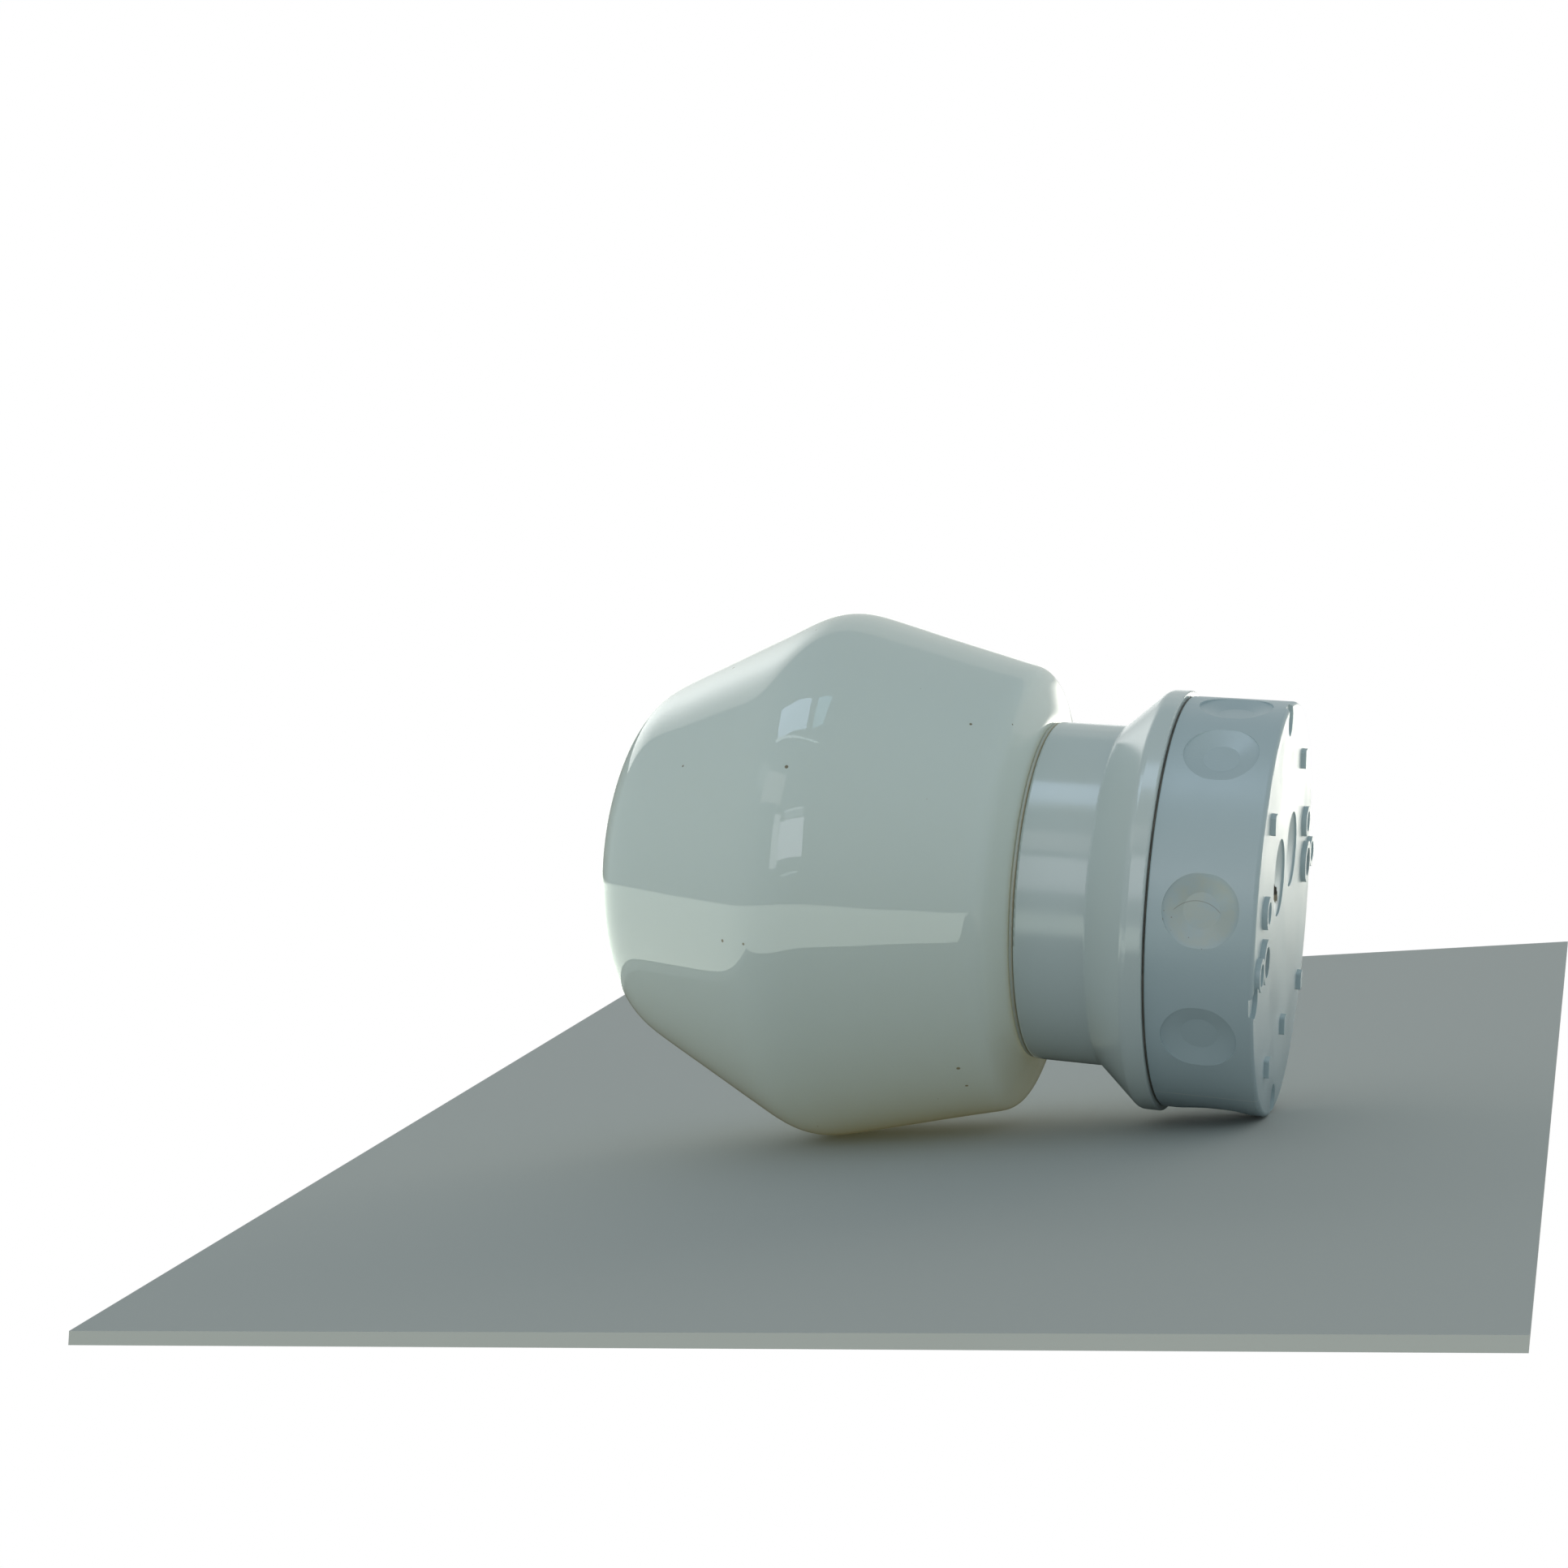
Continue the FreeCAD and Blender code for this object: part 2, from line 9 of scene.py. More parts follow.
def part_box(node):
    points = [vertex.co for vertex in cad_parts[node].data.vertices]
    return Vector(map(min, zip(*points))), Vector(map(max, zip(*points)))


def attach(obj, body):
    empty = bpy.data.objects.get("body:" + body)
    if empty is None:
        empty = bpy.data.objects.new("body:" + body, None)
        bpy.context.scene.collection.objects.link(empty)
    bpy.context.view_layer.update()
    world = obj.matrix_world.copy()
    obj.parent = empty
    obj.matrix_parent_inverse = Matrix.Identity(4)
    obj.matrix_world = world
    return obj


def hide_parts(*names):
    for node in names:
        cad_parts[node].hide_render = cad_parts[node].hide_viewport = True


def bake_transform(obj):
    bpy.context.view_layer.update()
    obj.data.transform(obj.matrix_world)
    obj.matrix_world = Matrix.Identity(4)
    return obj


# A wall or ceiling light that lies on its side: moulded plastic base, screwed opal glass shade.
# Metres. The wall plane is X = 0, the lamp points along -X, and s is the depth from the rear face.

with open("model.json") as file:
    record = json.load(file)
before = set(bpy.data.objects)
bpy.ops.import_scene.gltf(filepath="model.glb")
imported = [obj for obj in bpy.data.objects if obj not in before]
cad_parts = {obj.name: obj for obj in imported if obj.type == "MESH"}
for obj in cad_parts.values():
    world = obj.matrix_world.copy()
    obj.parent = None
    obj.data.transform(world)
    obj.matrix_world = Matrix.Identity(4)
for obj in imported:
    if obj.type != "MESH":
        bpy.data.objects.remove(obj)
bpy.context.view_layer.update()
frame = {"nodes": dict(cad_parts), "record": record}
nodes = frame["nodes"]

MM = 0.001
PAD = 1.4 * MM                      # the rear face stands this far off the wall plane
ROLL = math.radians(17.0)           # the base's hole pattern is turned this far about X
GASKET_INSET = 0.3 * MM             # the seal between box and cover lies this far inside the box's side
BOX_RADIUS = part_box("cover_gasket")[1].z + GASKET_INSET
DISH_S = 15.0 * MM                  # depth of the side dishes' centres
STAINED_DISH = math.radians(162.0) + ROLL


# ---------------------------------------------------------------- camera and stage

CAMERA_AT = Vector((0.08228, -0.71258, 0.04175))
FORWARD = Vector((-0.31704, 0.94817, -0.02111))
UP = Vector((-0.06642, 0.0, 0.99779))
LENS_MM = 55.81
SENSOR_MM = 36.0
WHITE = (1.0, 1.0, 1.0)


def camera_axes():
    """The camera's forward, right and up directions."""
    forward = FORWARD.normalized()
    right = forward.cross(UP).normalized()
    return forward, right, right.cross(forward)


def make_camera():
    data = bpy.data.cameras.new("view")
    data.lens = LENS_MM
    data.sensor_width = SENSOR_MM
    camera = bpy.data.objects.new("view", data)
    forward, right, up = camera_axes()
    rotation = Matrix((right, up, -forward)).transposed()
    camera.matrix_world = Matrix.Translation(CAMERA_AT) @ rotation.to_4x4()
    bpy.context.scene.collection.objects.link(camera)
    bpy.context.scene.camera = camera


class Nodes:
    """Short names for building a node tree."""

    def __init__(self, tree):
        self.tree = tree

    def add(self, kind, **settings):
        node = self.tree.nodes.new(kind)
        for name, value in settings.items():
            setattr(node, name, value)
        return node

    def feed(self, socket, value):
        if isinstance(value, bpy.types.NodeSocket):
            self.tree.links.new(value, socket)
        elif isinstance(value, (tuple, list, Vector)) and socket.type == "RGBA":
            socket.default_value = tuple(value)[:3] + (1.0,)
        else:
            socket.default_value = value

    def maths(self, operation, a, b=0.0, clamp=False):
        node = self.add("ShaderNodeMath", operation=operation, use_clamp=clamp)
        self.feed(node.inputs[0], a)
        self.feed(node.inputs[1], b)
        return node.outputs[0]

    def vector(self, operation, a, b=(0.0, 0.0, 0.0)):
        node = self.add("ShaderNodeVectorMath", operation=operation)
        self.feed(node.inputs[0], a)
        self.feed(node.inputs[1], b)
        gives_number = operation in ("DOT_PRODUCT", "LENGTH", "DISTANCE")
        return node.outputs["Value" if gives_number else "Vector"]

    def ramp(self, value, low, high, to_low=0.0, to_high=1.0):
        """to_low where value is low, to_high where it is high, and smooth between them."""
        node = self.add("ShaderNodeMapRange", interpolation_type="SMOOTHSTEP")
        for socket, given in zip(node.inputs, (value, low, high, to_low, to_high)):
            self.feed(socket, given)
        return node.outputs[0]

    def mix(self, factor, a, b):
        node = self.add("ShaderNodeMix", data_type="RGBA")
        self.feed(node.inputs[0], factor)
        self.feed(node.inputs[6], a)
        self.feed(node.inputs[7], b)
        return node.outputs[2]

    def mix_value(self, factor, a, b):
        node = self.add("ShaderNodeMix", data_type="FLOAT")
        self.feed(node.inputs[0], factor)
        self.feed(node.inputs[2], a)
        self.feed(node.inputs[3], b)
        return node.outputs[0]

    def place(self):
        return self.add("ShaderNodeTexCoord").outputs["Object"]

    def scaled(self, x, y, z):
        node = self.add("ShaderNodeMapping")
        self.feed(node.inputs["Vector"], self.place())
        node.inputs["Scale"].default_value = (x, y, z)
        return node.outputs[0]

    def noise(self, where, scale, detail=3.0):
        node = self.add("ShaderNodeTexNoise")
        self.feed(node.inputs["Vector"], where)
        node.inputs["Scale"].default_value = scale
        node.inputs["Detail"].default_value = detail
        return node.outputs["Fac"]

    def specks(self, scale, size, share):
        """1 inside scattered dots, each up to this size.

        There are scale cells to a metre, and this share of them holds a dot."""
        node = self.add("ShaderNodeTexVoronoi")
        self.feed(node.inputs["Vector"], self.place())
        node.inputs["Scale"].default_value = scale
        chosen = self.maths("GREATER_THAN", self.channel(node.outputs["Color"], 0), 1 - share)
        small = self.channel(node.outputs["Color"], 1)
        radius = self.ramp(small, 0.0, 1.0, 0.4 * size * scale, size * scale)
        edge = self.maths("SUBTRACT", radius, node.outputs["Distance"])
        dot = self.ramp(edge, 0.0, 0.35 * size * scale)
        return self.maths("MULTIPLY", chosen, dot)

    def grey(self, value):
        """A vector with this value in all three places."""
        node = self.add("ShaderNodeCombineXYZ")
        for socket in node.inputs:
            self.feed(socket, value)
        return node.outputs[0]

    def channel(self, colour, index):
        node = self.add("ShaderNodeSeparateColor")
        self.feed(node.inputs[0], colour)
        return node.outputs[index]

    def bump(self, height, distance):
        node = self.add("ShaderNodeBump")
        self.feed(node.inputs["Height"], height)
        node.inputs["Distance"].default_value = distance
        return node.outputs[0]


def between(n, value, low, high, soft):
    """1 where value lies between low and high, with soft edges."""
    above = n.ramp(value, low - soft, low + soft)
    below = n.ramp(value, high + soft, high - soft)
    return n.maths("MULTIPLY", above, below)


def all_of(n, first, *others):
    for other in others:
        first = n.maths("MULTIPLY", first, other)
    return first


# Light that comes from each part of the studio
ROOM = (0.37, 0.43, 0.45)
TABLE = (1.20, 1.24, 1.12)
TABLE_RIGHT = (0.46, 0.46, 0.39)
TABLE_LEFT = (0.80, 0.83, 0.75)
TABLE_GLOSSY_LEFT = (2.1, 2.3, 2.05)
BACK_DIFFUSE = (1.36, 1.40, 1.36)
BACK_DIFFUSE_RIGHT = (1.75, 1.70, 1.50)
BACK_GLOSSY = (0.62, 0.65, 0.64)
BACK_GLOSSY_LEFT = (2.15, 2.2, 2.15)
BACK_GLOSSY_RIGHT = (4.7, 4.6, 4.2)
BACK_GLOSSY_CORE = (1.3, 1.33, 1.3)
DARK_CORNER = (0.12, 0.13, 0.13)
STRIP = (3.0, 3.1, 3.1)

# Patches of the backdrop: from, to and softness of the edge, across and then up, as tangents from ahead
PANE_PATCH = ((-1.1, 2.2, 0.03), (-0.2, 1.1, 0.03))
CORE_PATCH = ((-0.18, 0.18, 0.04), (-0.2, 0.25, 0.04))
STRIP_PATCH = ((1.6, 2.1, 0.05), (0.1, 0.4, 0.03))
TABLE_EDGE = (-0.115, -0.13)    # how low the table begins beside the camera, from its edge's top to its foot
TABLE_SLOPE = 0.09              # it begins this much higher straight ahead
NEARLY_ASIDE = 0.01             # keeps the tangents finite beside and behind the camera


def patch(n, across, height, sides):
    return n.maths("MULTIPLY", between(n, across, *sides[0]), between(n, height, *sides[1]))


def backdrop_in_reflections(n, ahead, across, height):
    """A dim pane with a bright left part, right foot and core, a dark left corner, and a strip beside it."""
    fading = n.ramp(height, 1.1, 0.6, 0.45, 1.1)
    bright_left = n.vector("MULTIPLY", BACK_GLOSSY_LEFT, n.grey(fading))
    colour = n.mix(n.ramp(across, 0.0, -0.5), BACK_GLOSSY, bright_left)
    right_foot = n.maths("MULTIPLY", n.ramp(across, 0.22, 0.40), n.ramp(height, 0.16, 0.06))
    colour = n.mix(right_foot, colour, BACK_GLOSSY_RIGHT)
    colour = n.mix(patch(n, across, height, CORE_PATCH), colour, BACK_GLOSSY_CORE)
    slant = n.maths("ADD", height, n.maths("MULTIPLY", across, 0.4))
    corner = n.maths("MULTIPLY", n.ramp(across, -0.22, -0.30), n.ramp(slant, 0.14, 0.10))
    colour = n.mix(corner, colour, DARK_CORNER)
    front_half = n.ramp(ahead, 0.15, 0.3)
    pane = n.maths("MULTIPLY", front_half, patch(n, across, height, PANE_PATCH))
    strip = n.maths("MULTIPLY", front_half, patch(n, across, height, STRIP_PATCH))
    return n.mix(strip, n.mix(pane, ROOM, colour), STRIP)


def backdrop_as_light(n, ahead, across, up):
    """A bright backdrop straight ahead, brighter and warmer on its right, in a dimmer and cooler room."""
    backdrop = all_of(n, n.ramp(ahead, 0.46, 0.56), n.ramp(up, 0.66, 0.56), n.ramp(across, -1.0, -0.6))
    return n.mix(backdrop, ROOM, n.mix(n.ramp(across, 0.3, 1.0), BACK_DIFFUSE, BACK_DIFFUSE_RIGHT))


def table_light(n, right, is_glossy):
    """A bright table, dimmer on both sides, whose left part is brighter in reflections."""
    colour = n.mix(n.ramp(right, -0.2, -0.7), TABLE, TABLE_LEFT)
    colour = n.mix(n.ramp(right, 0.25, 0.75), colour, TABLE_RIGHT)
    glossy_left = n.maths("MULTIPLY", n.ramp(right, 0.10, -0.05), is_glossy)
    return n.mix(glossy_left, colour, TABLE_GLOSSY_LEFT)


def make_world():
    """White to the camera. Light comes from a backdrop behind the object, a table below and the room."""
    world = bpy.data.worlds.new("studio")
    world.use_nodes = True
    bpy.context.scene.world = world
    n = Nodes(world.node_tree)
    background = world.node_tree.nodes["Background"]
    direction = n.add("ShaderNodeTexCoord").outputs["Generated"]
    path = n.add("ShaderNodeLightPath")
    is_glossy = path.outputs["Is Glossy Ray"]
    forward, side, _ = camera_axes()
    ahead = n.vector("DOT_PRODUCT", direction, forward)
    right = n.vector("DOT_PRODUCT", direction, side)
    up = n.vector("DOT_PRODUCT", direction, UP)
    facing = n.maths("MAXIMUM", ahead, NEARLY_ASIDE)
    across = n.maths("DIVIDE", right, facing)
    height = n.maths("DIVIDE", up, facing)
    lit = backdrop_as_light(n, ahead, across, up)
    light = n.mix(is_glossy, lit, backdrop_in_reflections(n, ahead, across, height))
    below = n.maths("SUBTRACT", up, n.maths("MULTIPLY", ahead, TABLE_SLOPE))
    light = n.mix(n.ramp(below, *TABLE_EDGE), light, table_light(n, right, is_glossy))
    n.feed(background.inputs["Color"], n.mix(path.outputs["Is Camera Ray"], light, WHITE))


# The mat's outline on the floor, as (x, y), and its thickness. The shade's near side mirrors a narrower one.
MAT = ((-0.2128, -0.278), (0.0777, -0.301), (0.0717, 0.743), (-0.53, 0.81))
MAT_MIRRORED = (
    (-0.270, -0.180),
    (-0.050, -0.180),
    (-0.010, -0.290),
    (0.0777, -0.301),
    (0.0717, 0.743),
    (-0.53, 0.81),
)
MAT_THICKNESS = 3.0 * MM
MAT_GAP = 0.1 * MM           # between the rear rim and the mat
MIRRORED_DROP = 0.2 * MM     # the mirrored mat lies this far below the other
# The light rests on its rear rim and on the shade's widest ring
RIDGE_S = 131.6 * MM
RIDGE_OVER_BOX = 20.2 * MM


def only_in_reflections(obj):
    obj.visible_camera = False
    obj.visible_diffuse = False
    obj.visible_transmission = False
    obj.visible_shadow = False


def mat_plate(name, outline, drop, material):
    slope = RIDGE_OVER_BOX / RIDGE_S
    bm = bmesh.new()
    top = [bm.verts.new((x, y, -BOX_RADIUS - MAT_GAP - drop + slope * (x + PAD))) for x, y in outline]
    bottom = [bm.verts.new(v.co - Vector((0, 0, MAT_THICKNESS))) for v in top]
    bm.faces.new(top)
    bm.faces.new(list(reversed(bottom)))
    for i in range(len(outline)):
        k = (i + 1) % len(outline)
        bm.faces.new((top[i], bottom[i], bottom[k], top[k]))
    bmesh.ops.recalc_face_normals(bm, faces=bm.faces)
    mesh = bpy.data.meshes.new(name)
    bm.to_mesh(mesh)
    bm.free()
    mesh.materials.append(material)
    plate = bpy.data.objects.new(name, mesh)
    bpy.context.scene.collection.objects.link(plate)
    return plate


def make_floor():
    """A pale mat that the box's rear rim and the shade's widest ring rest on."""
    material, _, shader = new_material("floor_pale")
    shader.inputs["Base Color"].default_value = (0.50, 0.515, 0.50, 1.0)
    shader.inputs["Roughness"].default_value = 0.9
    shader.inputs["Specular IOR Level"].default_value = 0.1
    floor = mat_plate("floor", MAT, 0.0, material)
    floor.visible_glossy = False
    only_in_reflections(mat_plate("floor_mirrored", MAT_MIRRORED, MIRRORED_DROP, material))


def towards(turn, rise):
    """The direction that is turned this far to the right of the view and raised this far, in degrees."""
    turn = math.radians(turn)
    rise = math.radians(rise)
    forward, right, up = camera_axes()
    level = forward * math.cos(turn) + right * math.sin(turn)
    return level * math.cos(rise) + up * math.sin(rise)


WINDOW_DISTANCE = 8.0
WINDOW_SPACING = 0.05                            # each pane stands this much further off than the last
FRONT_OF_SHADE = Vector((-0.130, -0.068, 0.030))
# Window panes that the shade's near side mirrors: light, then each corner's turn and rise in degrees
WINDOWS = (
    ((2.5, 3.1, 3.9), ((-84, 58), (-95, 67), (-111, 75.5), (-152, 80), (-166, 64), (-122, 57), (-114, 52))),
    ((2.3, 2.6, 2.7), ((-106, 51.2), (-180, 57.7), (-180, 56.8), (-110, 51.2))),
    ((1.3, 2.0, 2.4), ((-179, 80.7), (155, 80.7), (151.5, 80), (176, 66), (-174, 64))),
    ((1.4, 1.4, 1.4), ((-116, 40), (-154, 41.5), (-152, 29), (-116, 27.5))),
    ((0.8, 0.9, 0.9), ((-97, 38), (-121, 44), (-114, 32), (-103, 30))),
    ((3.0, 3.1, 3.4), ((-156.5, 21.5), (-173.5, 23.5), (-172.5, 7.5), (-156, 5.5))),
    ((2.2, 2.4, 2.5), ((-159, 26.2), (-173.5, 28), (-173.5, 27.2), (-159, 25.4))),
    ((1.1, 1.2, 1.3), ((-159, 26.2), (-173.5, 28), (-173, 24), (-161, 22.5))),
    ((1.8, 2.1, 2.1), ((-161, -0.5), (-171, 1.5), (-171, 0.5), (-161, -1.5))),
    ((2.3, 2.4, 2.5), ((-147.5, 25), (-156, 25), (-156, 2.5), (-147, 2.5))),
)


def make_windows():
    """Distant window panes that only reflections see."""
    for i, (light, corners) in enumerate(WINDOWS):
        material = bpy.data.materials.new(f"window_light_{i}")
        material.use_nodes = True
        n = Nodes(material.node_tree)
        material.node_tree.nodes.remove(shader_of(material))
        glow = n.add("ShaderNodeEmission")
        glow.inputs["Color"].default_value = light + (1.0,)
        n.feed(material.node_tree.nodes["Material Output"].inputs["Surface"], glow.outputs[0])
        distance = WINDOW_DISTANCE + WINDOW_SPACING * i
        points = [FRONT_OF_SHADE + distance * towards(turn, rise) for turn, rise in corners]
        mesh = bpy.data.meshes.new(f"window_{i}")
        mesh.from_pydata([tuple(p) for p in points], [], [tuple(range(len(points)))])
        mesh.materials.append(material)
        pane = bpy.data.objects.new(f"window_{i}", mesh)
        only_in_reflections(pane)
        bpy.context.scene.collection.objects.link(pane)


# ---------------------------------------------------------------- the shade's glass

NECK_RADIUS = 40.2 * MM
NECK_BORE = 36.5 * MM
NECK_REAR = 52.0 * MM
GLASS_WALL = 3.6 * MM
TIP_S = 204.0 * MM
LIP_ROUNDING = 1.2 * MM      # the neck's rear lip, inside and out
ROOT_ROUNDING = 1.4 * MM     # where the neck meets the shoulder
MOUTH_ROUNDING = 2.5 * MM    # where the neck's bore opens into the shade
ROOT_CLEARANCE = 1.5 * MM    # the root's rounding ends where the shoulder is this far above the neck
NECK_POINTS = 14             # a millimetre apart, from the lip forwards
INSIDE_STEP = 3              # the inner face has one point for this many of the outer's
INSIDE_SHOULDER = 8.0 * MM   # it starts where the outer face is this far above the neck
TIP_ZONE = 150.0 * MM        # deeper than this it follows the outer face all the way to the axis

THREAD_START = 58.0 * MM
THREAD_PITCH = 6.0 * MM
THREAD_TURNS = 1.5
THREAD_CREST = 42.25 * MM
THREAD_FOOT = 1.4 * MM       # half the ridge's width at its foot, at its shoulders and on its crest
THREAD_SHOULDER = 0.8 * MM
THREAD_LAND = 0.4 * MM
THREAD_ROUNDING = 0.4 * MM   # the shoulders lie this far below the crest
THREAD_SUNK = 0.2 * MM       # the foot lies this far inside the wall
THREAD_TAPER_TURNS = 1 / 14  # the ridge grows over this much of a turn at each end
THREAD_STEPS_A_TURN = 96

SOFTEN = 4.0 * MM            # how far each corner of the outline melts into its neighbours
SOFTEN_SHOULDER = 1.3 * MM   # the same at the shoulder, whose edge is tighter
SHOULDER_LENGTH = 30.0 * MM
OUTLINE_STEP = 0.5 * MM
SHADE_SIDES = 160
WAVER_WIDE = 0.22 * MM       # how far the pressed glass strays from true, in wide and in fine waves
WAVER_FINE = 0.05 * MM
WIDE_WAVES = 22.0            # to a metre
FINE_WAVES = 60.0
FINE_SHIFT = Vector((7.0, 1.0, 3.0))    # so that the fine waves don't follow the wide ones
WAVER_START = 76.0 * MM      # the waver grows from nothing here, over the next WAVER_GROWTH
WAVER_GROWTH = 10.0 * MM
ON_AXIS = 0.01 * MM          # a point nearer the axis than this is a pole
# Corners of the outline from the shoulder to the tip: depth, radius and rounding in millimetres
SHADE_OUTLINE = (
    (69.7, 40.2, 0.0),
    (69.7, 50.8, 8.0),
    (73.9, 65.8, 5.6),
    (134.2, 81.4, 21.0),
    (190.8, 52.3, 17.0),
    (204.0, 27.9, 88.0),
    (204.0, 0.0, 0.0),
)


def rounded_corner(before, here, after, radius, count=24):
    """An arc of this radius that rounds the corner at here, as points."""
    if radius == 0:
        return [here]
    u = (before - here).normalized()
    v = (after - here).normalized()
    half = u.angle(v) / 2
    centre = here + (u + v).normalized() * (radius / math.sin(half))
    reach = radius / math.tan(half)
    first = here + u * reach - centre
    turn = first.angle_signed(here + v * reach - centre)
    points = []
    for i in range(count + 1):
        angle = -turn * i / count
        c, s = math.cos(angle), math.sin(angle)
        points.append(centre + Vector((first.x * c - first.y * s, first.x * s + first.y * c)))
    return points


def evenly(points, step):
    """The same line, with points at even steps along it."""
    spaced = [points[0]]
    left = step
    for a, b in zip(points, points[1:]):
        length = (b - a).length
        along = left
        while along <= length:
            spaced.append(a + (b - a) * (along / length))
            along += step
        left = along - length
    return spaced


def shade_outline():
    """(s, radius) points from the shoulder's root to the tip, with melted corners."""
    corners = [Vector((s * MM, r * MM)) for s, r, _ in SHADE_OUTLINE]
    points = [corners[0]]
    for i in range(1, len(corners) - 1):
        points += rounded_corner(corners[i - 1], corners[i], corners[i + 1], SHADE_OUTLINE[i][2] * MM)
    points.append(corners[-1])
    points = evenly(points, OUTLINE_STEP)
    reach = int(3 * SOFTEN / OUTLINE_STEP)
    before = [points[0] - (points[1] - points[0]) * k for k in range(reach, 0, -1)]
    beyond = [Vector((p.x, -p.y)) for p in reversed(points[-reach - 1:-1])]
    padded = before + points + beyond
    melted = []
    for i in range(len(points)):
        far = min(1.0, max(0.0, (i * OUTLINE_STEP - SHOULDER_LENGTH) / SHOULDER_LENGTH))
        soften = SOFTEN_SHOULDER + (SOFTEN - SOFTEN_SHOULDER) * far
        weights = [math.exp(-0.5 * (k * OUTLINE_STEP / soften) ** 2) for k in range(-reach, reach + 1)]
        total = sum(weights)
        around = padded[i:i + 2 * reach + 1]
        melted.append(sum((p * (w / total) for p, w in zip(around, weights)), Vector((0, 0))))
    melted[-1].y = 0.0
    return melted


def inner_face(outer):
    """The outer line moved in by the wall, from the tip back to the neck's bore."""
    inside = []
    for a, b, c in zip(outer, outer[1:], outer[2:]):
        along = (c - a).normalized()
        point = b + Vector((along.y, -along.x)) * GLASS_WALL
        on_body = b.y > NECK_RADIUS + INSIDE_SHOULDER and point.y > NECK_BORE
        near_tip = b.x > TIP_ZONE and point.y > 0
        if on_body or near_tip:
            inside.append(point)
    inside = inside[::INSIDE_STEP]
    inside.append(Vector((TIP_S - GLASS_WALL, 0.0)))
    inside.reverse()
    return inside


def glass_profile():
    """The whole wall's outline: from the neck to the tip along the outer face, and back along the inner."""
    outer = shade_outline()
    rear_inside = Vector((NECK_REAR, NECK_BORE))
    rear_outside = Vector((NECK_REAR, NECK_RADIUS))
    forwards = Vector((1.0, 0.0))
    outwards = Vector((0.0, 1.0))

    neck = [Vector((NECK_REAR + LIP_ROUNDING + k * MM, NECK_RADIUS)) for k in range(NECK_POINTS)]
    lip = rounded_corner(rear_inside, rear_outside, neck[1], LIP_ROUNDING, count=6)
    clear_of_root = next(i for i, p in enumerate(outer) if p.y > NECK_RADIUS + ROOT_CLEARANCE)
    body = outer[clear_of_root:]
    root_corner = Vector((body[0].x, NECK_RADIUS))
    root = rounded_corner(neck[0], root_corner, body[0], ROOT_ROUNDING, count=6)
    outside = lip + neck[1:] + root + body[1:]

    inside = inner_face(outer)
    mouth_corner = Vector((inside[-1].x, NECK_BORE))
    mouth = rounded_corner(inside[-1], mouth_corner, rear_inside, MOUTH_ROUNDING, count=8)
    back = rounded_corner(
        rear_inside + forwards, rear_inside, rear_inside + outwards, LIP_ROUNDING, count=6
    )
    return outside, inside + mouth + back


def waver(place):
    """How far the pressed glass strays from a true round, in metres."""
    wide = noise.noise(place * WIDE_WAVES)
    fine = noise.noise(place * FINE_WAVES + FINE_SHIFT)
    return WAVER_WIDE * wide + WAVER_FINE * fine


def lathe_ring(bm, point, wavy):
    """A ring of corners round the axis through an outline point. wavy is the waver's share, 0 to 1."""
    ring = []
    for k in range(SHADE_SIDES):
        angle = 2 * math.pi * k / SHADE_SIDES
        place = Vector((-PAD - point.x, point.y * math.sin(angle), point.y * math.cos(angle)))
        if wavy:
            radius = point.y + waver(place) * wavy
            place = Vector((place.x, radius * math.sin(angle), radius * math.cos(angle)))
        ring.append(bm.verts.new(place))
    return ring


def bridge(bm, first, second):
    """A band of faces between two rings."""
    for k in range(SHADE_SIDES):
        j = (k + 1) % SHADE_SIDES
        bm.faces.new((first[k], first[j], second[j], second[k]))


def cap(bm, ring, point):
    """Closes a ring onto a point on the axis."""
    tip = bm.verts.new((-PAD - point.x, 0, 0))
    for k in range(SHADE_SIDES):
        bm.faces.new((ring[k], ring[(k + 1) % SHADE_SIDES], tip))


def add_thread(bm):
    """The right-hand helical ridge round the neck, its ends tapered into the wall."""
    steps = int(THREAD_STEPS_A_TURN * THREAD_TURNS)
    previous = None
    for i in range(steps + 1):
        share = i / steps
        angle = 2 * math.pi * THREAD_TURNS * share
        s = THREAD_START + THREAD_PITCH * THREAD_TURNS * share
        grown = min(1.0, min(share, 1 - share) * THREAD_TURNS / THREAD_TAPER_TURNS)
        crest = NECK_RADIUS + (THREAD_CREST - NECK_RADIUS) * grown
        rising = (
            (THREAD_FOOT, NECK_RADIUS - THREAD_SUNK),
            (THREAD_SHOULDER, crest - THREAD_ROUNDING * grown),
            (THREAD_LAND, crest),
        )
        outline = [(-half, radius) for half, radius in rising] + list(reversed(rising))
        turned = angle - ROLL
        section = []
        for ds, radius in outline:
            place = (-PAD - s - ds, radius * math.sin(turned), radius * math.cos(turned))
            section.append(bm.verts.new(place))
        if previous:
            for a, b in zip(range(len(outline)), range(1, len(outline))):
                bm.faces.new((previous[a], previous[b], section[b], section[a]))
        else:
            bm.faces.new(section)
        previous = section
    bm.faces.new(list(reversed(previous)))


